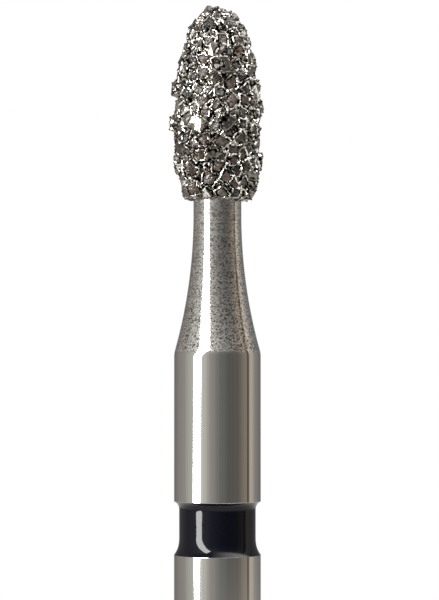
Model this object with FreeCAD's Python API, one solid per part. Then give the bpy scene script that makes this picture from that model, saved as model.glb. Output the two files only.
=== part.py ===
"""Friction-grip diamond bur for a dental handpiece, standing on the end of its shank.

Millimetres. +Z runs up the bur's axis to the tip of the cutting head, and the origin is the centre
of the shank's flat end. One turned steel blank carries the rest: the nickel bond plated on its
head, the diamond grains that stand in pockets of the bond, and the ring of lacquer in the shank's
groove, whose colour shows how coarse the grit is.
"""
import FreeCAD
import Part

import math
import os
import random

# Whole bur, up to the nickel at its tip, without the grains
OVERALL_LENGTH = 19.0

# Shank that the chuck grips
SHANK_DIAMETER = 1.60
END_CHAMFER = 0.12

# Neck under the head: a short straight stretch, then a concave flare that runs over a blunt corner
NECK_DIAMETER = 0.86
NECK_LENGTH = 2.80
NECK_STRAIGHT = 0.25
NECK_CORNER_RADIUS = 0.45

# Head, measured over the nickel
HEAD_LENGTH = 3.50
HEAD_DIAMETER = 1.47
HEAD_WIDEST_FROM_TIP = 2.15
HEAD_TIP_RADIUS = 0.50
HEAD_BASE_RADIUS = 0.09

# Nickel bond: its thickness, and how much of it lies between a grain and the steel
BOND_THICKNESS = 0.10
BOND_UNDER_GRAIN = 0.01

# Groove of the shank: the walls are measured along the axis
GROOVE_FROM_NECK = 2.72
GROOVE_LENGTH = 0.98
GROOVE_DEPTH = 0.17
GROOVE_UPPER_WALL = 0.10
GROOVE_LOWER_WALL = 0.16

# Lacquer in the groove: its coat on the floor, the length over which it climbs each wall, and how far
# its skin is hollow in between
LACQUER_THICKNESS = 0.075
LACQUER_UPPER_RISE = 0.18
LACQUER_LOWER_RISE = 0.24
LACQUER_BELOW_EDGE = 0.01
LACQUER_HOLLOW = 0.004

# Diamond grains: blocky crystals, whose width varies, as does each face's distance, by a share of it.
# The leans are the most degrees by which a face turns from square, and a grain from lying flat.
GRAIN_WIDTH_MIN = 0.11
GRAIN_WIDTH_MAX = 0.18
GRAIN_UNEVENNESS = 0.28
GRAIN_FACE_LEAN = 28
GRAIN_SEAT_LEAN = 35
GRAIN_COUNT = 262
GRAIN_GAP = 0.006
GRAIN_TRIES = 200
GRAIN_SEED = 7

ORIGIN = FreeCAD.Vector(0, 0, 0)
AXIS = FreeCAD.Vector(0, 0, 1)
SIDES = (-1, 1)
WHOLE_TURN = 360
SAME_POINT = 1e-9

shank_radius = SHANK_DIAMETER / 2
neck_radius = NECK_DIAMETER / 2
head_radius = HEAD_DIAMETER / 2
groove_floor_radius = shank_radius - GROOVE_DEPTH

head_base_z = OVERALL_LENGTH - HEAD_LENGTH
head_widest_z = OVERALL_LENGTH - HEAD_WIDEST_FROM_TIP
shank_top_z = head_base_z - NECK_LENGTH
groove_top_z = shank_top_z - GROOVE_FROM_NECK
groove_bottom_z = groove_top_z - GROOVE_LENGTH


def at(radius, z):
    """A point of a profile: its distance from the axis and its height."""
    return FreeCAD.Vector(radius, 0, z)


def on_circle(centre, radius, angle):
    return centre + FreeCAD.Vector(math.cos(angle), 0, math.sin(angle)) * radius


def lines(*points):
    """The straight edges from each point to the next."""
    return [Part.LineSegment(a, b).toShape() for a, b in zip(points, points[1:])]


def arc(centre, start, end):
    """The shorter arc between two points of a circle."""
    to_middle = ((start - centre) + (end - centre)).normalize()
    middle = centre + to_middle * start.distanceToPoint(centre)
    return Part.Arc(start, middle, end).toShape()


def hollow_centre(foot, corner):
    """The centre of the concave arc that leaves the vertical at its foot and ends further out."""
    run = corner.x - foot.x
    rise = corner.z - foot.z
    return at(foot.x + (rise ** 2 + run ** 2) / (2 * run), foot.z)


def turned(profile):
    """The solid that a closed profile sweeps in one turn about the axis."""
    face = Part.Face(Part.Wire(Part.__sortEdges__(profile)))
    return face.revolve(ORIGIN, AXIS, WHOLE_TURN)


class HeadOutline:
    """The head's bullet-shaped outline, taken in all round by an inset.

    A tip arc runs tangent into a long side arc, and the side arc into a small arc at the base.
    Without a base radius the side arc meets the base in a sharp corner.
    """

    def __init__(self, inset, base_radius):
        to_tip_centre = HEAD_WIDEST_FROM_TIP - HEAD_TIP_RADIUS
        full_side_radius = (head_radius ** 2 + to_tip_centre ** 2 - HEAD_TIP_RADIUS ** 2) / (
            2 * (head_radius - HEAD_TIP_RADIUS))
        self.tip_centre = at(0, OVERALL_LENGTH - HEAD_TIP_RADIUS)
        self.tip_radius = HEAD_TIP_RADIUS - inset
        self.side_centre = at(head_radius - full_side_radius, head_widest_z)
        self.side_radius = full_side_radius - inset
        self.base_z = head_base_z + inset
        self.base_radius = base_radius
        drop = head_widest_z - self.base_z - base_radius
        reach = math.sqrt((self.side_radius - base_radius) ** 2 - drop ** 2)
        self.base_centre = at(self.side_centre.x + reach, self.base_z + base_radius)
        self.tip_angle = self.angle_from_side_centre(self.tip_centre)
        self.base_angle = self.angle_from_side_centre(self.base_centre)

    def angle_from_side_centre(self, point):
        away = point - self.side_centre
        return math.atan2(away.z, away.x)

    def arcs(self):
        """The arcs as (centre, radius, first angle, last angle), from the tip down."""
        made = [
            (self.tip_centre, self.tip_radius, math.pi / 2, self.tip_angle),
            (self.side_centre, self.side_radius, self.tip_angle, self.base_angle),
        ]
        if self.base_radius:
            made.append((self.base_centre, self.base_radius, self.base_angle, -math.pi / 2))
        return made

    def edges(self):
        return [arc(centre, on_circle(centre, radius, first), on_circle(centre, radius, last))
                for centre, radius, first, last in self.arcs()]

    def tip(self):
        return at(0, self.tip_centre.z + self.tip_radius)

    def foot(self):
        """The outer end of the flat base."""
        return at(self.base_centre.x, self.base_z)


def neck_edges(neck_top):
    """The neck's edges, which are straight, then the flare, then the blunt corner, and the shank's top."""
    flare_top = at(neck_radius, head_base_z - NECK_STRAIGHT)
    flare_centre = hollow_centre(flare_top, at(shank_radius, shank_top_z))
    flare_radius = flare_centre.x - neck_radius
    between_centres = flare_radius + NECK_CORNER_RADIUS
    across = flare_centre.x - shank_radius + NECK_CORNER_RADIUS
    corner_centre = flare_centre - at(across, math.sqrt(between_centres ** 2 - across ** 2))
    flare_end = flare_centre + (corner_centre - flare_centre) * (flare_radius / between_centres)
    shank_top = at(shank_radius, corner_centre.z)
    return lines(neck_top, flare_top) + [
        arc(flare_centre, flare_top, flare_end),
        arc(corner_centre, flare_end, shank_top),
    ], shank_top


def steel_blank():
    """Shank, neck and the core of the head, turned from one rod."""
    core = HeadOutline(BOND_THICKNESS, 0)
    neck_top = at(neck_radius, core.base_z)
    neck, shank_top = neck_edges(neck_top)
    shank = lines(
        shank_top,
        at(shank_radius, groove_top_z),
        at(groove_floor_radius, groove_top_z - GROOVE_UPPER_WALL),
        at(groove_floor_radius, groove_bottom_z + GROOVE_LOWER_WALL),
        at(shank_radius, groove_bottom_z),
        at(shank_radius, END_CHAMFER),
        at(shank_radius - END_CHAMFER, 0),
        ORIGIN,
        core.tip(),
    )
    return turned(core.edges() + lines(core.foot(), neck_top) + neck + shank)


def lacquer_ring(blank):
    """The lacquer that the groove holds: thin on the floor, drawn up both walls by its own tension."""
    coat_radius = groove_floor_radius + LACQUER_THICKNESS
    edge_radius = shank_radius - LACQUER_BELOW_EDGE
    wall_share = LACQUER_BELOW_EDGE / GROOVE_DEPTH
    top = at(edge_radius, groove_top_z - GROOVE_UPPER_WALL * wall_share)
    bottom = at(edge_radius, groove_bottom_z + GROOVE_LOWER_WALL * wall_share)
    upper_foot = at(coat_radius, top.z - LACQUER_UPPER_RISE)
    lower_foot = at(coat_radius, bottom.z + LACQUER_LOWER_RISE)
    middle = at(coat_radius - LACQUER_HOLLOW, (upper_foot.z + lower_foot.z) / 2)
    skin = [
        arc(hollow_centre(upper_foot, top), upper_foot, top),
        Part.Arc(upper_foot, middle, lower_foot).toShape(),
        arc(hollow_centre(lower_foot, bottom), lower_foot, bottom),
    ]
    return turned(skin + lines(top, at(0, top.z), at(0, bottom.z), bottom)).cut(blank)


def nickel_bond(blank, grain_solids):
    """The plated shell round the head's core, with a pocket round the foot of every grain.

    Its outside is turned into spline surfaces first, on which each pocket's rim is a few plain curves.
    """
    outer = HeadOutline(0, HEAD_BASE_RADIUS)
    base = at(0, outer.base_z)
    body = turned(outer.edges() + lines(outer.foot(), base, outer.tip()))
    return body.toNurbs().cut([blank] + grain_solids)


def box_loops(half):
    """The faces of a cube about the origin, each a loop of corners that turns anticlockwise from outside."""
    corners = [FreeCAD.Vector(x, y, z) * half for x in SIDES for y in SIDES for z in SIDES]
    loops = [(0, 1, 3, 2), (4, 6, 7, 5), (0, 4, 5, 1), (2, 3, 7, 6), (0, 2, 6, 4), (1, 5, 7, 3)]
    return [[corners[i] for i in loop] for loop in loops]


def lean(most, draw):
    """A turn about a random direction, by up to that many degrees."""
    return FreeCAD.Rotation(FreeCAD.Vector(*[draw.gauss(0, 1) for _ in range(3)]), draw.uniform(0, most))


def cap(rim, normal):
    """The loop that closes a flat cut through a convex solid, from the points where edges cross it."""
    centre = sum(rim, FreeCAD.Vector()) * (1 / len(rim))
    across = (rim[0] - centre).normalize()
    along = normal.cross(across)
    rim.sort(key=lambda point: math.atan2((point - centre).dot(along), (point - centre).dot(across)))
    return [point for i, point in enumerate(rim) if point.distanceToPoint(rim[i - 1]) > SAME_POINT]


def clipped(loops, normal, distance):
    """The faces of a convex solid once what lies beyond a plane is cut away."""
    kept = []
    rim = []
    for corners in loops:
        loop = []
        for start, end in zip(corners, corners[1:] + corners[:1]):
            before = start.dot(normal) - distance
            after = end.dot(normal) - distance
            if before <= 0:
                loop.append(start)
            if before * after < 0:
                crossing = start + (end - start) * (before / (before - after))
                loop.append(crossing)
                rim.append(crossing)
        if loop:
            kept.append(loop)
    if rim:
        kept.append(cap(rim, normal))
    return kept


def crystal(width, draw):
    """The faces of one grain, a leaning uneven block, with the plated surface round it at z = 0."""
    seat = lean(GRAIN_SEAT_LEAN, draw)
    loops = box_loops(width)
    for side in SIDES:
        for direction in (FreeCAD.Vector(side, 0, 0), FreeCAD.Vector(0, side, 0), FreeCAD.Vector(0, 0, side)):
            normal = seat.multVec(lean(GRAIN_FACE_LEAN, draw).multVec(direction))
            share = draw.uniform(1 - GRAIN_UNEVENNESS, 1 + GRAIN_UNEVENNESS)
            loops = clipped(loops, normal, width / 2 * share)
    lowest = min(corner.z for loop in loops for corner in loop)
    drop = FreeCAD.Vector(0, 0, BOND_UNDER_GRAIN - BOND_THICKNESS - lowest)
    return [[corner + drop for corner in loop] for loop in loops]


def surface_place(outline, draw):
    """A random place on the head, even by area, whose own +Z points out of the surface."""
    arcs = outline.arcs()
    lengths = [abs(first - last) * radius for centre, radius, first, last in arcs]
    point = outline.tip()
    angle = math.pi / 2
    while draw.uniform(0, head_radius) >= point.x:
        centre, radius, first, last = draw.choices(arcs, lengths)[0]
        angle = draw.uniform(first, last)
        point = on_circle(centre, radius, angle)
    round_head = FreeCAD.Rotation(AXIS, draw.uniform(0, WHOLE_TURN))
    facing = FreeCAD.Rotation(AXIS, on_circle(ORIGIN, 1, angle))
    own_turn = FreeCAD.Rotation(AXIS, draw.uniform(0, WHOLE_TURN))
    return FreeCAD.Placement(round_head.multVec(point), round_head * facing * own_turn)


class Grain:
    """A diamond grain in its place on the head."""

    def __init__(self, loops, place):
        self.loops = [[place.multVec(corner) for corner in loop] for loop in loops]
        self.corners = [corner for loop in self.loops for corner in loop]
        self.centre = place.Base
        self.reach = max(corner.distanceToPoint(self.centre) for corner in self.corners)

    def turns_a_face_to(self, other):
        """Whether one face has the whole other grain in front of it, with the gap between them."""
        for first, second, third in (loop[:3] for loop in self.loops):
            normal = (second - first).cross(third - first).normalize()
            if min((corner - first).dot(normal) for corner in other.corners) > GRAIN_GAP:
                return True
        return False

    def clears(self, other):
        apart = self.centre.distanceToPoint(other.centre) - self.reach - other.reach
        return apart > GRAIN_GAP or self.turns_a_face_to(other) or other.turns_a_face_to(self)

    def solid(self):
        faces = [Part.Face(Part.makePolygon(loop + loop[:1])) for loop in self.loops]
        return Part.makeSolid(Part.makeShell(faces))


def seated_grains():
    """The grains, the widest first, each at the first place tried where it clears the others.

    One that finds no such place is left out.
    """
    draw = random.Random(GRAIN_SEED)
    outline = HeadOutline(0, HEAD_BASE_RADIUS)
    widths = [draw.uniform(GRAIN_WIDTH_MIN, GRAIN_WIDTH_MAX) for _ in range(GRAIN_COUNT)]
    seated = []
    for width in sorted(widths, reverse=True):
        loops = crystal(width, draw)
        for _ in range(GRAIN_TRIES):
            grain = Grain(loops, surface_place(outline, draw))
            if all(grain.clears(other) for other in seated):
                seated.append(grain)
                break
    return seated


def main():
    blank = steel_blank()
    grain_solids = [grain.solid() for grain in seated_grains()]
    parts = {
        "steel_blank": blank,
        "nickel_bond": nickel_bond(blank, grain_solids),
        "diamond_grains": Part.makeCompound(grain_solids),
        "lacquer_ring": lacquer_ring(blank),
    }
    os.makedirs("parts", exist_ok=True)
    for name, shape in parts.items():
        shape.exportStep(f"parts/{name}.step")


main()
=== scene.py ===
"""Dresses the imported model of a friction-grip diamond bur, and sets up the studio that shows it.

The file is laid out as an add-on and run as a script. Sizes are in metres, in the model's own frame: +Z
runs up the bur's axis to the tip of its head, and the origin is the centre of the shank's flat end.
"""

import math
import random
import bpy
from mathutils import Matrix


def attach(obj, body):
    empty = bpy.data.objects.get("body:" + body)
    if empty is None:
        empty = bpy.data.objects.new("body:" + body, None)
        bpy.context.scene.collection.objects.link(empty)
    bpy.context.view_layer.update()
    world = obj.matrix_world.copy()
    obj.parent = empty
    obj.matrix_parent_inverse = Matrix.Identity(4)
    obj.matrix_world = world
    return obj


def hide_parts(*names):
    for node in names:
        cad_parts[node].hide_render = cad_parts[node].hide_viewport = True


bl_info = {
    "name": "Diamond Bur",
    "version": (1, 0, 0),
    "blender": (4, 5, 0),
    "location": "3D View > Sidebar > Bur",
    "description": "Makes a dental bur's ground shank, plated head and diamond grit, and a small studio",
    "category": "Mesh",
}

import bmesh
import bpy
import numpy as np
from bpy.props import FloatProperty, FloatVectorProperty, IntProperty, PointerProperty
from mathutils import Matrix, Vector, noise

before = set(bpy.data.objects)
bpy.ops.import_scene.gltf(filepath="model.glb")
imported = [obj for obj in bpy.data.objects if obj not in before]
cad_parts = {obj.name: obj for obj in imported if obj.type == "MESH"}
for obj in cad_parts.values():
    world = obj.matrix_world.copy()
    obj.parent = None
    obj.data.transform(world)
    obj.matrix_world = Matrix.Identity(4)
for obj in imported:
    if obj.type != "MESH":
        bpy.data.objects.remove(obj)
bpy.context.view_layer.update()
BODY = "root"

MM = 0.001

# Spacing of the points along a turned profile, the segments of one turn, and the radius of polished corners.
# A point on each side of a corner, this many radii away, keeps the faces next to it flat.
PROFILE_SPACING = 0.03 * MM
TURN_SEGMENTS = 192
EDGE_ROUNDING = 0.006 * MM
BESIDE_CORNER = 1.6
SHARP_ANGLE = math.radians(35)

# The coat's own grid is finer, for its nickel rises between grains a tenth of a millimetre apart
COAT_SPACING = 0.0165 * MM
COAT_SEGMENTS = 352

# How far from the tip and from the base the head is drawn in, and where the base starts to be pressed flat
TIP_REACH = 0.55 * MM
BASE_REACH = 0.12 * MM
BASE_START = 0.08 * MM
BASE_FLATNESS = 0.4

# Decimals of a metre that the coat's points keep, so that no rounding difference moves the grit on it
ROUNDED_DECIMALS = 9

# The distance from a grain that takes in its rim, the rim widths past which nothing of it is left, how high
# nickel stands over a grain that it covers, and how sharply one rim runs into the next
RIM_REACH = 0.085 * MM
RIM_TAIL = 3
COVER = 1.08
RIM_BLEND = 4

# Grains: corners this close are joined, faces this nearly flat are one, and these shares of the corners are
# chipped. Then the faces are split in four and smoothed, a number of times each.
JOIN_DISTANCE = 1e-5 * MM
FLAT_ANGLE = math.radians(1)
LARGE_CHIPS = 0.10
SMALL_CHIPS = 0.35
SPLITS = 2
SMOOTHINGS = 3
SMOOTHING = 0.5
GRAIN_SHARP_ANGLE = math.radians(50)

# Fine grit: the most that a crystal is turned, its least and greatest stretch, and how many are sown on a
# square metre before those closer than the spacing are taken away
WHOLE_TURN = 6.28
LEAST_STRETCH = 0.55
GREATEST_STRETCH = 1.25
SOWN = 1e9

# Sizes of the patterns in the finishes, across the bur's axis and along it. A pixel of the render is
# 0.018 mm, and the real pits, rings, cleavage steps and specks may be finer than they are here, because
# they are drawn as coarse as they need to show.
NECK_PITS = (0.038 * MM, 0.030 * MM)
NECK_RINGS = (2.5 * MM, 0.035 * MM)
CLEAVAGE = (0.05 * MM, 0.05 * MM)
CLEAVAGE_STEPS = (0.035 * MM, 0.035 * MM)
LACQUER_SPECKS = (0.02 * MM, 0.02 * MM)

# The bends in the nickel's rims and the waves of the lacquer, in sizes guessed from how they look
RIM_BENDS = (0.07 * MM, 0.07 * MM)
LACQUER_WAVES = (0.25 * MM, 0.25 * MM)

# Most of a noise's values lie between these
NOISE_LOW = 0.3
NOISE_HIGH = 0.7

# Depths of the bumps
PIT_DEPTH = 0.0015 * MM
RING_DEPTH = 0.0010 * MM
CLEAVAGE_DEPTH = 0.010 * MM
WAVE_DEPTH = 0.003 * MM

# The neck's finish fades in over this length at its foot, and is down to this share of it under the head
FADE_IN = 0.05 * MM
UNDER_HEAD = 0.55


def linear(hex_colour):
    """An sRGB hex colour as linear red, green, blue and alpha."""
    channels = [int(hex_colour[i:i + 2], 16) / 255 for i in (1, 3, 5)]
    return [c / 12.92 if c <= 0.04045 else ((c + 0.055) / 1.055) ** 2.4 for c in channels] + [1]


def length(name, description, millimetres):
    return FloatProperty(name=name, description=description, default=millimetres * MM, unit="LENGTH",
                         precision=6)


def fraction(name, description, value):
    return FloatProperty(name=name, description=description, default=value, min=0, max=1)


def colour(name, description, hex_colour):
    return FloatVectorProperty(name=name, description=description, default=linear(hex_colour), size=4,
                               subtype="COLOR", min=0, max=1)


class BurBlankSettings(bpy.types.PropertyGroup):
    overall_length: length("Overall Length", "From the shank's end to the nickel at the tip", 19.0)
    shank_diameter: length("Shank Diameter", "Diameter that the chuck grips", 1.60)
    end_chamfer: length("End Chamfer", "Chamfer round the shank's end", 0.12)
    neck_diameter: length("Neck Diameter", "Diameter right under the head", 0.885)
    neck_length: length("Neck Length", "From the head to the shank", 2.80)
    neck_straight: length("Neck Straight", "Straight stretch under the head", 0.25)
    neck_corner_radius: length("Neck Corner", "Radius of the blunt corner on the shank", 0.45)
    groove_from_neck: length("Groove Place", "From the shank's top to the groove", 2.72)
    groove_length: length("Groove Length", "Length of the groove along the shank", 0.98)
    groove_depth: length("Groove Depth", "Depth of the groove", 0.17)
    groove_upper_wall: length("Upper Wall", "Length of the groove's upper wall", 0.10)
    groove_lower_wall: length("Lower Wall", "Length of the groove's lower wall", 0.16)
    steel: colour("Steel", "Colour of the hardened steel", "#cbcac7")


class BurHeadSettings(bpy.types.PropertyGroup):
    length: length("Head Length", "Length of the head over the nickel", 3.50)
    diameter: length("Head Diameter", "Largest diameter over the nickel", 1.47)
    widest_from_tip: length("Widest Place", "From the tip to the head's widest place", 2.15)
    tip_radius: length("Tip Radius", "Radius of the rounded tip", 0.50)
    base_radius: length("Base Radius", "Radius of the corner at the head's base", 0.09)
    bond_thickness: length("Bond Thickness", "Thickness of the nickel on the steel core", 0.10)
    side_wear: fraction("Side Wear", "Share by which the grit's sides are drawn in", 0.045)
    tip_wear: fraction("Tip Wear", "Further share at the tip", 0.13)
    base_wear: fraction("Base Wear", "Further share at the base", 0.02)


class BurCoatSettings(bpy.types.PropertyGroup):
    climb_low: fraction("Lowest Climb", "Least share of a grain that nickel climbs", 0.60)
    climb_high: fraction("Highest Climb", "Greatest share of a grain that nickel climbs", 1.00)
    covered: fraction("Covered Grains", "Share of the grains that nickel grows right over", 0.10)
    rim_place: length("Rim Place", "From a grain to the crest of the nickel's rim round it", 0.026)
    rim_width: length("Rim Width", "How fast the rim falls away on both sides", 0.023)
    wander_size: length("Wander Size", "Size of the bends in the rims", 0.07)
    wander: length("Wander", "How far the rims bend to the side", 0.026)
    swell_size: length("Swell Size", "Size of the nickel's broad swellings", 0.22)
    swell_height: length("Swell Height", "Height of the broad swellings", 0.014)
    seed: IntProperty(name="Seed", description="Changes the rims' bends and heights", default=3)
    # The rim colour is a painted highlight on the nickel's rims, and the last colour is painted shade in the
    # creases beside them
    rim: colour("Rim", "Colour of the bright nickel on the rims", "#ebe8e1")
    hollow: colour("Hollow", "Colour of the duller nickel between the rims", "#8b857d")
    crease_shade: colour("Crevice", "Colour of the dark creases beside a rim", "#050403")


class BurGritSettings(bpy.types.PropertyGroup):
    cleavage_size: length("Cleavage Size", "Size of the steps on a grain's broken faces", 0.045)
    cleavage_depth: length("Cleavage Depth", "Depth of those steps", 0.018)
    small_chip: length("Small Chip", "Size of the small chips off a grain's corners", 0.022)
    large_chip: length("Large Chip", "Size of the large chips off a grain's corners", 0.045)
    fine_spacing: length("Fine Grit Spacing", "Least distance between the smallest grains", 0.075)
    fine_size: length("Fine Grit Size", "Radius of the smallest grains", 0.022)
    seed: IntProperty(name="Seed", description="Changes the chips, rough faces and fine grit", default=11)
    dark: colour("Dark Grains", "Colour of the darkest diamonds", "#0a0908")
    warm: colour("Warm Grains", "Colour of the warm diamonds", "#4a3d33")
    grey: colour("Grey Grains", "Colour of the grey diamonds", "#3a3a39")


class BurLacquerSettings(bpy.types.PropertyGroup):
    thickness: length("Coat Thickness", "Thickness of the lacquer on the groove's floor", 0.075)
    upper_rise: length("Upper Rise", "Length over which it climbs the upper wall", 0.17)
    lower_rise: length("Lower Rise", "Length over which it climbs the lower wall", 0.36)
    below_edge: length("Below Edge", "How far below the shank's surface it ends", 0.001)
    lacquer: colour("Lacquer", "Colour of the lacquer, the code for the coarsest grit", "#02030b")


class BurStudioSettings(bpy.types.PropertyGroup):
    camera_place: FloatVectorProperty(name="Camera", description="Where the camera stands", subtype="XYZ",
                                      unit="LENGTH", default=(0.038 * MM, -48 * MM, 12.76 * MM))
    camera_aim: FloatVectorProperty(name="Aim", description="Point at the frame's centre", subtype="XYZ",
                                    unit="LENGTH", default=(0.038 * MM, 0, 13.68 * MM))
    frame_height: length("Frame Height", "Height that the frame takes in at the bur", 11.05)
    softbox_power: FloatProperty(name="Softbox", description="Power of the softbox", default=1.17, min=0,
                                 unit="POWER")
    floor: colour("Floor", "Colour of the floor", "#b4b3b0")


def add_node(tree, kind, inputs=None, **settings):
    """Adds a node with its settings. Each input gets a value, or a link from a node or one of its outputs."""
    made = tree.nodes.new(kind)
    for name, value in settings.items():
        setattr(made, name, value)
    for key, value in (inputs or {}).items():
        if isinstance(value, bpy.types.Node):
            value = value.outputs[0]
        if isinstance(value, bpy.types.NodeSocket):
            tree.links.new(value, made.inputs[key])
        else:
            made.inputs[key].default_value = value
    return made


def empty_material(name):
    material = bpy.data.materials.new(name)
    material.use_nodes = True
    material.node_tree.nodes.clear()
    return material, material.node_tree


def finish_material(tree, shader):
    add_node(tree, "ShaderNodeOutputMaterial", {"Surface": shader})


def shade_ramp(tree, factor, stops):
    """A colour ramp through linear colours, each with its place. The first is at 0 and the last at 1."""
    made = add_node(tree, "ShaderNodeValToRGB", {"Fac": factor})
    elements = made.color_ramp.elements
    elements[0].color = stops[0][1]
    elements[1].color = stops[-1][1]
    for place, shade in stops[1:-1]:
        elements.new(place).color = shade
    return made


def stretched_place(tree, size):
    """Object coordinates divided by a pattern's size across the axis and along it."""
    across, along = size
    place = add_node(tree, "ShaderNodeTexCoord").outputs["Object"]
    return add_node(tree, "ShaderNodeMapping", {
        "Vector": place, "Scale": (1 / across, 1 / across, 1 / along)})


def ground_steel(colour_value, neck_foot, neck_top):
    """Hardened stainless steel. The shank is ground and polished, and mirrors the room in upright bands.
    The neck is turned and left with pitting and faint rings, a pixel or two across in the photo. Its colour
    is painted darker in each pit as painted shade, and lighter between them as painted glints.
    """
    material, tree = empty_material("ground_steel")
    place = add_node(tree, "ShaderNodeTexCoord").outputs["Object"]
    height = add_node(tree, "ShaderNodeSeparateXYZ", {0: place}).outputs["Z"]
    above_foot = add_node(tree, "ShaderNodeMapRange", {
        "Value": height, "From Min": neck_foot, "From Max": neck_foot + FADE_IN})
    below_top = add_node(tree, "ShaderNodeMapRange", {
        "Value": height, "From Min": neck_foot, "From Max": neck_top, "To Min": 1, "To Max": UNDER_HEAD})
    neck = add_node(tree, "ShaderNodeMath", {0: above_foot, 1: below_top}, operation="MULTIPLY")
    grain = add_node(tree, "ShaderNodeTexNoise", {
        "Vector": stretched_place(tree, NECK_PITS), "Scale": 1, "Detail": 3, "Roughness": 0.6})
    rings = add_node(tree, "ShaderNodeTexNoise", {
        "Vector": stretched_place(tree, NECK_RINGS), "Scale": 1, "Detail": 3, "Roughness": 0.7})
    roughness = add_node(tree, "ShaderNodeMapRange", {
        "Value": neck, "To Min": 0.03, "To Max": 0.08})
    # Each pit is painted much darker, as painted shade, and the steel between them up to half again as
    # light, as painted glints. The rings are only a little darker or lighter
    pit_shade_and_glints = add_node(tree, "ShaderNodeMapRange", {
        "Value": grain.outputs["Fac"], "From Min": 0.38, "From Max": 0.56, "To Min": -0.80, "To Max": 0.50})
    ring_shade = add_node(tree, "ShaderNodeMapRange", {
        "Value": rings.outputs["Fac"], "From Min": 0.35, "From Max": 0.65, "To Min": -0.22, "To Max": 0.22})
    marks = add_node(tree, "ShaderNodeMath", {0: pit_shade_and_glints, 1: ring_shade}, operation="ADD")
    value = add_node(tree, "ShaderNodeMath", {0: marks, 1: neck, 2: 1}, operation="MULTIPLY_ADD")
    # The neck's colour takes the painted shade in the pits and the painted glints between them
    tint = add_node(tree, "ShaderNodeHueSaturation", {"Color": colour_value, "Value": value})
    turned_rings = add_node(tree, "ShaderNodeBump", {
        "Height": rings.outputs["Fac"], "Strength": neck, "Distance": RING_DEPTH})
    pitted = add_node(tree, "ShaderNodeBump", {
        "Height": grain.outputs["Fac"], "Strength": neck, "Distance": PIT_DEPTH, "Normal": turned_rings})
    finish_material(tree, add_node(tree, "ShaderNodeBsdfPrincipled", {
        "Base Color": tint, "Metallic": 1, "Roughness": roughness, "Normal": pitted}))
    return material


def plated_nickel(coat):
    """Electroplated nickel, drawn up round every grain in a smooth rim. Its colour paints a highlight on
    each rim and painted shade in the crease on each side of it, and the nickel in the hollows is duller.
    """
    material, tree = empty_material("plated_nickel")
    from_grain = add_node(tree, "ShaderNodeAttribute", attribute_name="from_grain").outputs["Fac"]
    bends = add_node(tree, "ShaderNodeTexNoise", {
        "Vector": stretched_place(tree, RIM_BENDS), "Scale": 1, "Detail": 1})
    stray = add_node(tree, "ShaderNodeMapRange", {
        "Value": bends.outputs["Fac"], "From Min": NOISE_LOW, "From Max": NOISE_HIGH,
        "To Min": -0.16, "To Max": 0.16})
    across = add_node(tree, "ShaderNodeMath", {0: from_grain, 1: stray}, operation="ADD")
    # From the grain outwards: painted shade in the crease at its foot, a painted highlight on the rim,
    # painted shade in the crease behind it, and the hollow
    shade = shade_ramp(tree, across, (
        (0, coat.crease_shade), (0.14, coat.crease_shade), (0.22, coat.rim), (0.46, coat.rim),
        (0.56, coat.crease_shade), (0.74, coat.crease_shade), (0.90, coat.hollow), (1, coat.hollow)))
    finish_material(tree, add_node(tree, "ShaderNodeBsdfPrincipled", {
        "Base Color": shade, "Metallic": 1, "Roughness": 0.07}))
    return material


def crushed_diamond(settings):
    """Crushed synthetic diamond: dark, with glassy cleaved faces and some grains warmer or greyer. The IOR
    is matched to how bright the grit shows, and is well below diamond's own 2.42.
    """
    material, tree = empty_material("crushed_diamond")
    tint = add_node(tree, "ShaderNodeAttribute", attribute_name="grain_tint")
    shade = shade_ramp(tree, tint.outputs["Fac"], (
        (0, settings.dark), (0.55, settings.warm), (1, settings.grey)))
    cleavage = add_node(tree, "ShaderNodeTexNoise", {
        "Vector": stretched_place(tree, CLEAVAGE), "Scale": 1, "Detail": 3, "Roughness": 0.6})
    steps = add_node(tree, "ShaderNodeTexVoronoi", {
        "Vector": stretched_place(tree, CLEAVAGE_STEPS), "Scale": 1})
    height = add_node(tree, "ShaderNodeMath", {0: cleavage.outputs["Fac"], 1: steps.outputs["Distance"]},
                      operation="ADD")
    surface = add_node(tree, "ShaderNodeBump", {"Height": height, "Distance": CLEAVAGE_DEPTH})
    flaws = add_node(tree, "ShaderNodeMapRange", {
        "Value": cleavage.outputs["Fac"], "From Min": 0.35, "From Max": 0.65, "To Min": 0.3, "To Max": 1.6})
    flawed = add_node(tree, "ShaderNodeHueSaturation", {"Color": shade, "Value": flaws})
    finish_material(tree, add_node(tree, "ShaderNodeBsdfPrincipled", {
        "Base Color": flawed, "Roughness": 0.05, "IOR": 1.65, "Normal": surface}))
    return material


def stoved_lacquer(colour_value):
    """Black lacquer stoved in the groove: glossy and a little wavy, as it flowed before it set. The IOR is
    matched to how bright its highlight shows, and is below the 1.5 that is typical of a lacquer.
    """
    material, tree = empty_material("stoved_lacquer")
    flow = add_node(tree, "ShaderNodeTexNoise", {
        "Vector": stretched_place(tree, LACQUER_WAVES), "Scale": 1, "Detail": 2})
    specks = add_node(tree, "ShaderNodeTexNoise", {
        "Vector": stretched_place(tree, LACQUER_SPECKS), "Scale": 1, "Detail": 2})
    wavy = add_node(tree, "ShaderNodeBump", {
        "Height": flow.outputs["Fac"], "Strength": 0.5, "Distance": WAVE_DEPTH})
    roughness = add_node(tree, "ShaderNodeMapRange", {
        "Value": specks.outputs["Fac"], "From Min": NOISE_LOW, "From Max": NOISE_HIGH,
        "To Min": 0.03, "To Max": 0.08})
    finish_material(tree, add_node(tree, "ShaderNodeBsdfPrincipled", {
        "Base Color": colour_value, "Roughness": roughness, "IOR": 1.36, "Normal": wavy}))
    return material


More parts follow.
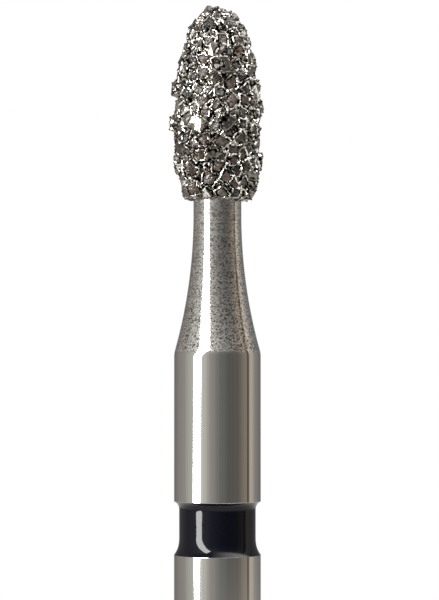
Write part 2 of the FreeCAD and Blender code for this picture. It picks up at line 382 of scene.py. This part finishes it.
def arc_points(centre, radius, first, last, spacing):
    """Points of a profile along an arc, both its ends included."""
    count = max(3, math.ceil(abs(last - first) * radius / spacing))
    return [centre + Vector((math.cos(angle), math.sin(angle))) * radius
            for angle in np.linspace(first, last, count + 1)]


def angle_of(vector):
    return math.atan2(vector.y, vector.x)


def head_outline(blank, head, inset, base_radius, spacing):
    """The head's outline from its tip down: a tip arc, a long side arc, and an arc at a rounded base."""
    half = head.diameter / 2
    to_tip_centre = head.widest_from_tip - head.tip_radius
    side_radius = (half ** 2 + to_tip_centre ** 2 - head.tip_radius ** 2) / (2 * (half - head.tip_radius))
    tip_centre = Vector((0, blank.overall_length - head.tip_radius))
    side_centre = Vector((half - side_radius, blank.overall_length - head.widest_from_tip))
    base_z = blank.overall_length - head.length + inset
    reach = math.sqrt((side_radius - inset - base_radius) ** 2 - (side_centre.y - base_z - base_radius) ** 2)
    base_centre = Vector((side_centre.x + reach, base_z + base_radius))
    tip_angle = angle_of(tip_centre - side_centre)
    base_angle = angle_of(base_centre - side_centre)
    points = arc_points(tip_centre, head.tip_radius - inset, math.pi / 2, tip_angle, spacing)
    points += arc_points(side_centre, side_radius - inset, tip_angle, base_angle, spacing)[1:]
    if base_radius:
        points += arc_points(base_centre, base_radius, base_angle, -math.pi / 2, spacing)[1:]
    return points


def hollow_centre(foot, corner):
    """The centre of the concave arc that leaves the vertical at its foot and ends at a corner further out."""
    run, rise = corner - foot
    return Vector((foot.x + (rise ** 2 + run ** 2) / (2 * run), foot.y))


def softened(corners, radius):
    """Straight lines with every inner corner rounded, as polishing leaves it."""
    points = [corners[0]]
    for before, corner, after in zip(corners, corners[1:], corners[2:]):
        back = (before - corner).normalized() * radius
        onward = (after - corner).normalized() * radius
        points.append(corner + back * BESIDE_CORNER)
        points += [(corner + back * (1 - t) ** 2 + onward * t ** 2) for t in (0, 0.25, 0.5, 0.75, 1)]
        points.append(corner + onward * BESIDE_CORNER)
    return points + [corners[-1]]


def neck_points(blank, head, head_base_z):
    """The neck from the core of the head down: straight, the flare, then the blunt corner onto the shank."""
    neck_radius = blank.neck_diameter / 2
    shank_radius = blank.shank_diameter / 2
    corner_radius = blank.neck_corner_radius
    flare_top = Vector((neck_radius, head_base_z - blank.neck_straight))
    flare_centre = hollow_centre(flare_top, Vector((shank_radius, head_base_z - blank.neck_length)))
    flare_radius = flare_centre.x - neck_radius
    across = flare_centre.x - shank_radius + corner_radius
    down = math.sqrt((flare_radius + corner_radius) ** 2 - across ** 2)
    corner_centre = flare_centre - Vector((across, down))
    away = angle_of(flare_centre - corner_centre)
    flare = arc_points(flare_centre, flare_radius, math.pi, away + math.pi, PROFILE_SPACING)
    corner = arc_points(corner_centre, corner_radius, away, 0, PROFILE_SPACING)
    return [Vector((neck_radius, head_base_z + head.bond_thickness))] + flare + corner[1:]


def shank_points(blank, groove_top_z):
    """The shank from above the groove down to the centre of its end."""
    radius = blank.shank_diameter / 2
    floor = radius - blank.groove_depth
    groove_bottom_z = groove_top_z - blank.groove_length
    return softened([Vector(point) for point in (
        (radius, groove_top_z + blank.groove_length),
        (radius, groove_top_z),
        (floor, groove_top_z - blank.groove_upper_wall),
        (floor, groove_bottom_z + blank.groove_lower_wall),
        (radius, groove_bottom_z),
        (radius, blank.end_chamfer),
        (radius - blank.end_chamfer, 0),
        (0, 0),
    )], EDGE_ROUNDING)


def drawn_up(foot, corner):
    """Lacquer drawn up a wall from its foot to its corner. It steepens steadily, with no kink at the foot."""
    count = math.ceil((corner - foot).length / (PROFILE_SPACING / 2))
    return [Vector((foot.x + (corner.x - foot.x) * t ** 3, foot.y + (corner.y - foot.y) * t))
            for t in np.linspace(0, 1, count + 1)]


def swept_points(values, segments):
    """Each pair (radius, height) of a profile, or of its normals, at every segment of one turn."""
    turn = np.linspace(0, 2 * math.pi, segments, endpoint=False)
    radius, height = np.array(values).T
    rings = (np.outer(radius, np.cos(turn)), np.outer(radius, np.sin(turn)),
             np.repeat(height[:, None], segments, axis=1))
    return np.stack(rings, axis=-1).reshape(-1, 3)


def swept_faces(rows, segments, closed):
    """Quads between neighbouring rows of a swept profile. A closed profile's last row meets its first."""
    faces = []
    for row in range(rows if closed else rows - 1):
        upper = row * segments
        lower = (row + 1) % rows * segments
        for i in range(segments):
            j = (i + 1) % segments
            faces.append((upper + i, lower + i, lower + j, upper + j))
    return faces


def mesh_of(name, points, faces, sharp_angle=SHARP_ANGLE):
    """A smooth mesh that keeps its corners sharp where they turn by more than an angle."""
    mesh = bpy.data.meshes.new(name)
    mesh.from_pydata([tuple(point) for point in points], [], faces)
    mesh.shade_smooth()
    mesh.set_sharp_from_angle(angle=sharp_angle)
    return mesh


def capped(points, faces, rows, segments, top, bottom):
    """The swept points and faces with a pole on the axis at each end."""
    last = (rows - 1) * segments
    top_index = len(points)
    bottom_index = top_index + 1
    for i in range(segments):
        j = (i + 1) % segments
        faces.append((top_index, i, j))
        faces.append((bottom_index, last + j, last + i))
    return np.vstack([points, top, bottom]), faces


def turned(name, profile, segments, closed=False):
    """A mesh swept by a profile. Unless the profile is closed, it starts and ends on the axis."""
    rings = profile if closed else profile[1:-1]
    points = swept_points(rings, segments)
    faces = swept_faces(len(rings), segments, closed)
    if not closed:
        top, bottom = [(0, 0, end.y) for end in (profile[0], profile[-1])]
        points, faces = capped(points, faces, len(rings), segments, top, bottom)
    return mesh_of(name, points, faces)


def add_piece(name, mesh, material, node=None):
    """Adds a finished piece to the scene and to the frame, in place of its CAD node if one is named."""
    mesh.materials.clear()
    mesh.materials.append(material)
    piece = bpy.data.objects.new(name, mesh)
    bpy.context.scene.collection.objects.link(piece)
    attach(piece, BODY)
    if node:
        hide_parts(node)


def wandering(points, size, reach):
    """The points moved about by a smooth noise, so that what is measured from them comes out uneven."""
    return points + np.array([noise.noise_vector(Vector(point) / size) for point in points]) * reach


def worn(points, blank, head):
    """Points of the grit drawn in towards the axis, most at its ends, and pressed flat at the base."""
    from_tip = blank.overall_length - points[:, 2]
    from_base = head.length - from_tip
    share = 1 - head.side_wear - head.tip_wear * np.exp(-(from_tip / TIP_REACH) ** 2)
    share -= head.base_wear * np.exp(-(from_base / BASE_REACH) ** 2)
    lift = np.maximum(BASE_START - from_base, 0) * (1 - BASE_FLATNESS)
    return points * np.stack([share, share, np.ones(len(points))], axis=1) + np.outer(lift, (0, 0, 1))


class GrainBlock:
    """One CAD grain: the planes of its faces, how far it stands out, and whether nickel covers it."""

    def __init__(self, faces, points, outward):
        self.covered = False
        self.normals = np.array([face.normal for face in faces])
        self.offsets = np.array([face.normal.dot(face.verts[0].co) for face in faces])
        corners = np.array([vertex.co for face in faces for vertex in face.verts])
        self.centre = corners.mean(axis=0)
        self.reach = np.linalg.norm(corners - self.centre, axis=1).max()
        nearest = np.argmin(np.linalg.norm(points - self.centre, axis=1))
        self.stand = ((corners - points[nearest]) @ outward[nearest]).max()

    def near(self, points, margin):
        return np.nonzero(np.linalg.norm(points - self.centre, axis=1) < self.reach + margin)[0]

    def gap(self, points):
        """How far each point lies outside the grain. It is below zero inside."""
        return (points @ self.normals.T - self.offsets).max(axis=1)


def islands(mesh):
    """The separate grains of a joined mesh, each a list of its faces in their own order."""
    left = set(mesh.faces)
    while left:
        found = [left.pop()]
        for face in found:
            touching = {other for vertex in face.verts for other in vertex.link_faces} & left
            left -= touching
            found.extend(touching)
        yield sorted(found, key=lambda face: face.index)


def joined_grains():
    """A copy of the CAD grains with their loose triangles joined."""
    grains = bmesh.new()
    grains.from_mesh(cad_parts["diamond_grains"].data)
    bmesh.ops.remove_doubles(grains, verts=grains.verts, dist=JOIN_DISTANCE)
    grains.faces.index_update()
    return grains


def ordered_islands(mesh):
    """The separate grains in the order of their first faces, which is the same at every run."""
    return sorted(islands(mesh), key=lambda faces: faces[0].index)


def in_order(mesh):
    """A copy of a mesh with its faces in the same order at every run, which bevels leave in any order. The
    mesh itself is freed.
    """
    mesh.verts.index_update()
    faces = []
    for face in mesh.faces:
        corners = [vertex.index for vertex in face.verts]
        first = corners.index(min(corners))
        faces.append(corners[first:] + corners[:first])
    ordered = bmesh.new()
    vertices = [ordered.verts.new(vertex.co) for vertex in mesh.verts]
    for corners in sorted(faces):
        ordered.faces.new([vertices[corner] for corner in corners])
    ordered.normal_update()
    mesh.free()
    return ordered


class BurBlank(bpy.types.Operator):
    """Turns the steel blank: the shank with its groove, the neck and the core of the head"""
    bl_idname = "mesh.bur_blank"
    bl_label = "Steel Blank"

    def execute(self, context):
        blank = context.scene.bur_blank
        head = context.scene.bur_head
        head_base_z = blank.overall_length - head.length
        groove_top_z = head_base_z - blank.neck_length - blank.groove_from_neck
        core = head_outline(blank, head, head.bond_thickness, 0, PROFILE_SPACING)
        profile = core + neck_points(blank, head, head_base_z) + shank_points(blank, groove_top_z)
        mesh = turned("steel_blank_ground", profile, TURN_SEGMENTS)
        steel = ground_steel(blank.steel, head_base_z - blank.neck_length, head_base_z)
        add_piece("steel_blank_ground", mesh, steel, "steel_blank")
        return {"FINISHED"}


class BurLacquer(bpy.types.Operator):
    """Fills the shank's groove with lacquer that climbs both walls"""
    bl_idname = "mesh.bur_lacquer"
    bl_label = "Lacquer Ring"

    def execute(self, context):
        blank = context.scene.bur_blank
        lacquer = context.scene.bur_lacquer
        floor = blank.shank_diameter / 2 - blank.groove_depth
        skin = floor + lacquer.thickness
        edge = blank.shank_diameter / 2 - lacquer.below_edge
        share = lacquer.below_edge / blank.groove_depth
        top_z = (blank.overall_length - context.scene.bur_head.length - blank.neck_length
                 - blank.groove_from_neck)
        bottom_z = top_z - blank.groove_length
        top = Vector((edge, top_z - blank.groove_upper_wall * share))
        bottom = Vector((edge, bottom_z + blank.groove_lower_wall * share))
        upper_foot = Vector((skin, top.y - lacquer.upper_rise))
        lower_foot = Vector((skin, bottom.y + lacquer.lower_rise))
        profile = drawn_up(upper_foot, top)[::-1] + drawn_up(lower_foot, bottom)
        profile.append(Vector((floor, bottom_z + blank.groove_lower_wall)))
        profile.append(Vector((floor, top_z - blank.groove_upper_wall)))
        mesh = turned("lacquer_ring_stoved", profile, TURN_SEGMENTS, closed=True)
        add_piece("lacquer_ring_stoved", mesh, stoved_lacquer(lacquer.lacquer),
                  "lacquer_ring")
        return {"FINISHED"}


class BurCoat(bpy.types.Operator):
    """Plates the head with nickel that climbs the foot of every grain"""
    bl_idname = "mesh.bur_coat"
    bl_label = "Nickel Coat"

    def execute(self, context):
        blank = context.scene.bur_blank
        head = context.scene.bur_head
        coat = context.scene.bur_coat
        noise.seed_set(coat.seed)
        profile = self.profile(blank, head)
        slopes = np.gradient(np.array(profile), axis=0)
        slopes /= np.linalg.norm(slopes, axis=1)[:, None]
        outward = swept_points(np.stack([-slopes[:, 1], slopes[:, 0]], axis=1), COAT_SEGMENTS)
        points = swept_points(profile, COAT_SEGMENTS)
        grains = joined_grains()
        blocks = [GrainBlock(faces, points, outward) for faces in ordered_islands(grains)]
        grains.free()
        rise = self.climb(points, blocks, coat) + self.swell(points, coat)
        # Nothing grows where the base of the coat runs on inside the neck
        inside = np.linalg.norm(points[:, :2], axis=1) < blank.neck_diameter / 2 - EDGE_ROUNDING
        rise[inside & (points[:, 2] < blank.overall_length - head.length / 2)] = 0
        points += outward * rise[:, None]
        across = self.across_rims(points, blocks, coat)
        points = np.round(worn(points, blank, head), ROUNDED_DECIMALS)
        faces = swept_faces(len(profile), COAT_SEGMENTS, False)
        top = points[:COAT_SEGMENTS].mean(axis=0)
        bottom = points[-COAT_SEGMENTS:].mean(axis=0)
        points, faces = capped(points, faces, len(profile), COAT_SEGMENTS, top, bottom)
        # Plated nickel has no sharp edges
        mesh = mesh_of("nickel_coat", points, faces, math.pi)
        from_grain = mesh.attributes.new("from_grain", "FLOAT", "POINT")
        from_grain.data.foreach_set("value", np.append(across, (1, 1)))
        add_piece("nickel_coat", mesh, plated_nickel(coat), "nickel_bond")
        return {"FINISHED"}

    def profile(self, blank, head):
        """The plain outline over the nickel, from beside the tip to inside the neck."""
        outline = head_outline(blank, head, 0, head.base_radius, COAT_SPACING)[1:]
        foot = outline[-1]
        neck_radius = blank.neck_diameter / 2
        inner = Vector((neck_radius / 2, foot.y))
        count = round((foot.x - inner.x) / COAT_SPACING)
        return outline + [foot.lerp(inner, i / count) for i in range(1, count + 1)]

    def climb(self, points, blocks, coat):
        """How high the nickel stands at each point: in a rim round each grain, or right over it."""
        draw = random.Random(coat.seed)
        bent = wandering(points, coat.wander_size, coat.wander)
        heights = np.zeros(len(points))
        for block in blocks:
            near = block.near(points, coat.rim_place + RIM_TAIL * coat.rim_width)
            from_crest = np.maximum(block.gap(bent[near]), 0) - coat.rim_place
            top = block.stand * draw.uniform(coat.climb_low, coat.climb_high)
            block.covered = draw.random() < coat.covered
            if block.covered:
                from_crest = np.maximum(from_crest, 0)
                top = block.stand * COVER
            heights[near] += (top * np.exp(-(from_crest / coat.rim_width) ** 2)) ** RIM_BLEND
        return heights ** (1 / RIM_BLEND)

    def across_rims(self, points, blocks, coat):
        """How far each point of the nickel is from the nearest grain, as a share of the rims' reach."""
        bent = wandering(points, coat.wander_size, coat.wander)
        across = np.ones(len(points))
        for block in blocks:
            near = block.near(points, RIM_REACH)
            gap = block.gap(bent[near])
            # A covered grain is all rim, so the rim's painted highlight covers it
            gap = np.maximum(gap, 0) + coat.rim_place if block.covered else np.abs(gap)
            across[near] = np.minimum(across[near], gap / RIM_REACH)
        return across

    def swell(self, points, coat):
        """The broad swellings of the plating."""
        swellings = [noise.noise(Vector(point) / coat.swell_size) for point in points]
        return np.array(swellings) * coat.swell_height


class BurGrains(bpy.types.Operator):
    """Chips and wears the diamond grains, each where the model has it"""
    bl_idname = "mesh.bur_grains"
    bl_label = "Diamond Grains"

    def execute(self, context):
        grit = context.scene.bur_grit
        draw = random.Random(grit.seed)
        noise.seed_set(grit.seed)
        grains = self.chipped(joined_grains(), grit, draw)
        self.roughen(grains, grit)
        self.wear(grains, context.scene.bur_blank, context.scene.bur_head)
        self.tint(grains, draw)
        mesh = bpy.data.meshes.new("diamond_grains_chipped")
        grains.to_mesh(mesh)
        grains.free()
        mesh.shade_smooth()
        mesh.set_sharp_from_angle(angle=GRAIN_SHARP_ANGLE)
        add_piece("diamond_grains_chipped", mesh, crushed_diamond(grit), "diamond_grains")
        return {"FINISHED"}

    def chipped(self, grains, grit, draw):
        """The grains with large and then small chips off some of their corners."""
        bmesh.ops.dissolve_limit(grains, angle_limit=FLAT_ANGLE, verts=grains.verts, edges=grains.edges)
        for size, share in ((grit.large_chip, LARGE_CHIPS), (grit.small_chip, SMALL_CHIPS)):
            grains.verts.ensure_lookup_table()
            corners = [vertex for vertex in grains.verts if draw.random() < share]
            bmesh.ops.bevel(grains, geom=corners, offset=size, segments=1, affect="VERTICES",
                            clamp_overlap=True)
            grains = in_order(grains)
        return grains

    def roughen(self, grains, grit):
        """Splits the faces and moves their points about, as rough cleavage leaves them."""
        bmesh.ops.triangulate(grains, faces=grains.faces)
        for _ in range(SPLITS):
            bmesh.ops.subdivide_edges(grains, edges=grains.edges, cuts=1, use_grid_fill=True)
        for vertex in grains.verts:
            vertex.co += noise.noise_vector(vertex.co / grit.cleavage_size) * grit.cleavage_depth
        for _ in range(SMOOTHINGS):
            bmesh.ops.smooth_vert(grains, verts=grains.verts, factor=SMOOTHING, use_axis_x=True,
                                  use_axis_y=True, use_axis_z=True)

    def wear(self, grains, blank, head):
        """Draws the grains in as the coat round them is."""
        places = worn(np.array([vertex.co for vertex in grains.verts]), blank, head)
        for vertex, place in zip(grains.verts, places):
            vertex.co = place

    def tint(self, grains, draw):
        """Gives every grain a shade of its own, from 0 to 1, as an attribute of its faces."""
        grains.faces.index_update()
        layer = grains.faces.layers.float.new("grain_tint")
        for faces in ordered_islands(grains):
            value = draw.random()
            for face in faces:
                face[layer] = value


def fine_grit_tree(material):
    """Geometry nodes that scatter small crystals over a surface, each turned and stretched at random."""
    tree = bpy.data.node_groups.new("scattered_fine_grit", "GeometryNodeTree")
    for name, kind in (("Surface", "NodeSocketGeometry"), ("Spacing", "NodeSocketFloat"),
                       ("Size", "NodeSocketFloat"), ("Seed", "NodeSocketInt")):
        tree.interface.new_socket(name, in_out="INPUT", socket_type=kind)
    tree.interface.new_socket("Grit", in_out="OUTPUT", socket_type="NodeSocketGeometry")
    given = add_node(tree, "NodeGroupInput").outputs
    scattered = add_node(tree, "GeometryNodeDistributePointsOnFaces", {
        "Mesh": given["Surface"], "Distance Min": given["Spacing"], "Density Max": SOWN,
        "Seed": given["Seed"]}, distribute_method="POISSON")
    crystal = add_node(tree, "GeometryNodeMeshIcoSphere", {"Radius": given["Size"], "Subdivisions": 1})
    spin = add_node(tree, "FunctionNodeRandomValue", {0: (0,) * 3, 1: (WHOLE_TURN,) * 3, "Seed": 1},
                    data_type="FLOAT_VECTOR")
    stretch = add_node(tree, "FunctionNodeRandomValue", {
        0: (LEAST_STRETCH,) * 3, 1: (GREATEST_STRETCH,) * 3, "Seed": 2}, data_type="FLOAT_VECTOR")
    placed = add_node(tree, "GeometryNodeInstanceOnPoints", {
        "Points": scattered.outputs["Points"], "Instance": crystal.outputs["Mesh"],
        "Rotation": spin, "Scale": stretch})
    tint = add_node(tree, "FunctionNodeRandomValue", {"Seed": 3}, data_type="FLOAT")
    tinted = add_node(tree, "GeometryNodeStoreNamedAttribute", {
        "Geometry": placed, "Name": "grain_tint", "Value": tint.outputs[1]},
        data_type="FLOAT", domain="INSTANCE")
    real = add_node(tree, "GeometryNodeRealizeInstances", {"Geometry": tinted})
    dressed = add_node(tree, "GeometryNodeSetMaterial", {"Geometry": real, "Material": material})
    add_node(tree, "NodeGroupOutput", {"Grit": dressed})
    return tree


class BurFineGrit(bpy.types.Operator):
    """Scatters the smallest diamonds over the nickel"""
    bl_idname = "mesh.bur_fine_grit"
    bl_label = "Fine Grit"

    def execute(self, context):
        grit = context.scene.bur_grit
        material = bpy.data.materials["crushed_diamond"]
        scatter = bpy.data.objects.new("fine_grit_surface", bpy.data.objects["nickel_coat"].data.copy())
        context.scene.collection.objects.link(scatter)
        tree = fine_grit_tree(material)
        modifier = scatter.modifiers.new("scattered_fine_grit", "NODES")
        modifier.node_group = tree
        wanted = {"Spacing": grit.fine_spacing, "Size": grit.fine_size, "Seed": grit.seed}
        for item in tree.interface.items_tree:
            if item.name in wanted:
                modifier[item.identifier] = wanted[item.name]
        context.view_layer.update()
        evaluated = scatter.evaluated_get(context.evaluated_depsgraph_get())
        mesh = bpy.data.meshes.new_from_object(evaluated)
        mesh.name = "fine_grit"
        bpy.data.objects.remove(scatter)
        mesh.shade_flat()
        add_piece("fine_grit", mesh, material)
        return {"FINISHED"}


# The room round the bur, matched to the bands that its ground steel mirrors: degrees to the right of the
# camera, and the shade
ROOM_SHADES = (
    (-180, "#f4f4f4"),
    (-158, "#777674"),
    (-120, "#a49d99"),
    (-98, "#aea9a4"),
    (-88, "#bfbfb9"),
    (-44, "#f7f5ee"),
    (-20, "#b3afaa"),
    (6, "#83827f"),
    (30, "#6b6a68"),
    (56, "#706b66"),
    (83, "#a3998a"),
    (87, "#655b4f"),
    (91, "#655b4f"),
    (95, "#d7cabe"),
    (106, "#cbbfb4"),
    (118, "#a09d9a"),
    (156, "#737472"),
    (180, "#f4f4f4"),
)

# Softbox: its centre line leans to the right as it rises. Directions are from the bur's head.
SOFTBOX_DISTANCE = 0.24
SOFTBOX_FOOT = Vector((-0.820, -0.572, 0))
SOFTBOX_LINE = Vector((0.440, -0.244, 0.864))
SOFTBOX_WIDTH = 0.325
SOFTBOX_BELOW = -0.18
SOFTBOX_ABOVE = 0.88

# Strengths in the room: the ceiling on the left, the window high on its right, the glow in front of the bur
# and how fast that gathers upwards, and the curtains' soft folds
CEILING = 0.4
WINDOW = 5.5
GLOW = 8
GLOW_POWER = 3
GLOW_DIRECTION = (math.sin(math.radians(20)), -math.cos(math.radians(20)), 0)
FOLDS_IN_RADIAN = 24
FOLD_SHADES = (0.84, 1.16)

# The pale table that the floor runs on into, in the shade on its left
TABLE_SHADE = "#e4e3df"
TABLE_LEFT = 0.30
TABLE_RIGHT = 1.10

# Where one part of the room gives way to the next: walls to ceiling and walls to table by how far a
# direction points up, and ceiling to window and the table's shade to its light by how far it points right
CEILING_HEIGHTS = (0.58, 0.74)
TABLE_HEIGHTS = (-0.06, -0.24)
WINDOW_SIDES = (-0.2, 0.6)
TABLE_SIDES = (-0.8, 0.5)

# The floor is a disc that fades away between two distances from the bur
FLOOR_RADIUS = 0.080
FLOOR_FADE_FROM = 0.022
FLOOR_FADE_TO = 0.072

# Width of the camera's sensor in millimetres, as the lens's length is too
SENSOR = 36.0


def room_world():
    """The room by direction, which the bur mirrors. The camera itself sees plain white behind the bur."""
    world = bpy.data.worlds.new("studio_room")
    world.use_nodes = True
    tree = world.node_tree
    tree.nodes.clear()
    direction = add_node(tree, "ShaderNodeTexCoord").outputs["Generated"]
    parts = add_node(tree, "ShaderNodeSeparateXYZ", {0: direction}).outputs
    towards = add_node(tree, "ShaderNodeMath", {0: parts["Y"], 1: -1}, operation="MULTIPLY")
    azimuth = add_node(tree, "ShaderNodeMath", {0: parts["X"], 1: towards}, operation="ARCTAN2")
    share = add_node(tree, "ShaderNodeMapRange", {
        "Value": azimuth, "From Min": -math.pi, "From Max": math.pi})
    walls = shade_ramp(tree, share, [
        ((degrees + 180) / 360, linear(shade)) for degrees, shade in ROOM_SHADES])
    folds = add_node(tree, "ShaderNodeTexNoise", {"W": azimuth, "Scale": FOLDS_IN_RADIAN},
                     noise_dimensions="1D")
    uneven = add_node(tree, "ShaderNodeMapRange", {
        "Value": folds.outputs["Fac"], "From Min": NOISE_LOW, "From Max": NOISE_HIGH,
        "To Min": FOLD_SHADES[0], "To Max": FOLD_SHADES[1]})
    height = add_node(tree, "ShaderNodeMapRange", {
        "Value": parts["Z"], "From Min": CEILING_HEIGHTS[0], "From Max": CEILING_HEIGHTS[1]},
        interpolation_type="SMOOTHSTEP")
    in_front = add_node(tree, "ShaderNodeVectorMath", {0: direction, 1: GLOW_DIRECTION},
                        operation="DOT_PRODUCT")
    frontal = add_node(tree, "ShaderNodeMapRange", {"Value": in_front.outputs["Value"], "To Max": GLOW})
    raised = add_node(tree, "ShaderNodeMapRange", {"Value": parts["Z"]})
    high = add_node(tree, "ShaderNodeMath", {0: raised, 1: GLOW_POWER}, operation="POWER")
    glow = add_node(tree, "ShaderNodeMath", {0: frontal, 1: high, 2: 1}, operation="MULTIPLY_ADD")
    brightness = add_node(tree, "ShaderNodeMath", {0: glow, 1: uneven}, operation="MULTIPLY")
    walls_lit = add_node(tree, "ShaderNodeBackground", {"Color": walls, "Strength": brightness})
    window = add_node(tree, "ShaderNodeMapRange", {
        "Value": parts["X"], "From Min": WINDOW_SIDES[0], "From Max": WINDOW_SIDES[1],
        "To Min": CEILING, "To Max": WINDOW})
    overhead = add_node(tree, "ShaderNodeBackground", {"Color": linear("#ffffff"), "Strength": window})
    lit = add_node(tree, "ShaderNodeMixShader", {0: height, 1: walls_lit, 2: overhead})
    below = add_node(tree, "ShaderNodeMapRange", {
        "Value": parts["Z"], "From Min": TABLE_HEIGHTS[0], "From Max": TABLE_HEIGHTS[1]},
        interpolation_type="SMOOTHSTEP")
    table_light = add_node(tree, "ShaderNodeMapRange", {
        "Value": parts["X"], "From Min": TABLE_SIDES[0], "From Max": TABLE_SIDES[1],
        "To Min": TABLE_LEFT, "To Max": TABLE_RIGHT})
    table = add_node(tree, "ShaderNodeBackground", {"Color": linear(TABLE_SHADE), "Strength": table_light})
    room = add_node(tree, "ShaderNodeMixShader", {0: below, 1: lit, 2: table})
    white = add_node(tree, "ShaderNodeBackground", {"Color": linear("#ffffff"), "Strength": 1})
    seen = add_node(tree, "ShaderNodeMixShader", {
        0: add_node(tree, "ShaderNodeLightPath").outputs["Is Camera Ray"], 1: room, 2: white})
    add_node(tree, "ShaderNodeOutputWorld", {"Surface": seen})
    return world


def studio_floor(colour_value):
    """Matt pale card that fades away from the bur, so that no hard edge of it shows in the steel."""
    material, tree = empty_material("studio_floor")
    place = add_node(tree, "ShaderNodeTexCoord").outputs["Object"]
    away = add_node(tree, "ShaderNodeVectorMath", {0: place}, operation="LENGTH")
    fade = add_node(tree, "ShaderNodeMapRange", {
        "Value": away.outputs["Value"], "From Min": FLOOR_FADE_FROM, "From Max": FLOOR_FADE_TO},
        interpolation_type="SMOOTHSTEP")
    card = add_node(tree, "ShaderNodeBsdfDiffuse", {"Color": colour_value})
    nothing = add_node(tree, "ShaderNodeBsdfTransparent")
    finish_material(tree, add_node(tree, "ShaderNodeMixShader", {0: fade, 1: card, 2: nothing}))
    return material


class BurStudio(bpy.types.Operator):
    """Sets up the floor, the softbox, the room and the camera"""
    bl_idname = "scene.bur_studio"
    bl_label = "Studio"

    def execute(self, context):
        studio = context.scene.bur_studio
        self.add_floor(context, studio)
        self.add_softbox(context, studio)
        self.add_camera(context, studio)
        context.scene.world = room_world()
        context.scene.view_settings.view_transform = "Standard"
        return {"FINISHED"}

    def add_floor(self, context, studio):
        mesh = bpy.data.meshes.new("studio_floor")
        disc = bmesh.new()
        bmesh.ops.create_circle(disc, cap_ends=True, segments=TURN_SEGMENTS, radius=FLOOR_RADIUS)
        disc.to_mesh(mesh)
        disc.free()
        mesh.materials.append(studio_floor(studio.floor))
        floor = bpy.data.objects.new("studio_floor", mesh)
        context.scene.collection.objects.link(floor)

    def add_softbox(self, context, studio):
        line = SOFTBOX_LINE.normalized()
        middle = (SOFTBOX_FOOT + line * (SOFTBOX_BELOW + SOFTBOX_ABOVE) / 2) * SOFTBOX_DISTANCE
        facing = (middle - line * middle.dot(line)).normalized()
        lamp = bpy.data.lights.new("softbox", "AREA")
        lamp.shape = "RECTANGLE"
        lamp.size = SOFTBOX_WIDTH * SOFTBOX_DISTANCE
        lamp.size_y = (SOFTBOX_ABOVE - SOFTBOX_BELOW) * SOFTBOX_DISTANCE
        lamp.energy = studio.softbox_power
        softbox = bpy.data.objects.new("softbox", lamp)
        turn = Matrix((line.cross(facing), line, facing)).transposed()
        softbox.matrix_world = Matrix.Translation(middle + studio.camera_aim) @ turn.to_4x4()
        context.scene.collection.objects.link(softbox)

    def add_camera(self, context, studio):
        away = studio.camera_aim - studio.camera_place
        lens = bpy.data.cameras.new("camera")
        lens.sensor_width = SENSOR
        lens.lens = SENSOR * away.length / studio.frame_height
        lens.clip_start = MM
        camera = bpy.data.objects.new("camera", lens)
        camera.location = studio.camera_place
        camera.rotation_euler = away.to_track_quat("-Z", "Y").to_euler()
        context.scene.collection.objects.link(camera)
        context.scene.camera = camera


OPERATORS = (BurBlank, BurLacquer, BurCoat, BurGrains, BurFineGrit, BurStudio)
SETTINGS = {
    "bur_blank": BurBlankSettings,
    "bur_head": BurHeadSettings,
    "bur_coat": BurCoatSettings,
    "bur_grit": BurGritSettings,
    "bur_lacquer": BurLacquerSettings,
    "bur_studio": BurStudioSettings,
}


class BurPanel(bpy.types.Panel):
    """Lists the bur's pieces and their sizes and colours"""
    bl_idname = "VIEW3D_PT_bur"
    bl_label = "Diamond Bur"
    bl_space_type = "VIEW_3D"
    bl_region_type = "UI"
    bl_category = "Bur"

    def draw(self, context):
        for operator in OPERATORS:
            self.layout.operator(operator.bl_idname)
        for name, kind in SETTINGS.items():
            box = self.layout.box()
            for field in kind.__annotations__:
                box.prop(getattr(context.scene, name), field)


def register():
    for kind in (*SETTINGS.values(), *OPERATORS, BurPanel):
        bpy.utils.register_class(kind)
    for name, kind in SETTINGS.items():
        setattr(bpy.types.Scene, name, PointerProperty(type=kind))


def unregister():
    for name in SETTINGS:
        delattr(bpy.types.Scene, name)
    for kind in (BurPanel, *reversed(OPERATORS), *reversed(SETTINGS.values())):
        bpy.utils.unregister_class(kind)


def main():
    register()
    bpy.ops.mesh.bur_blank()
    bpy.ops.mesh.bur_lacquer()
    bpy.ops.mesh.bur_coat()
    bpy.ops.mesh.bur_grains()
    bpy.ops.mesh.bur_fine_grit()
    bpy.ops.scene.bur_studio()


if __name__ == "__main__":
    main()
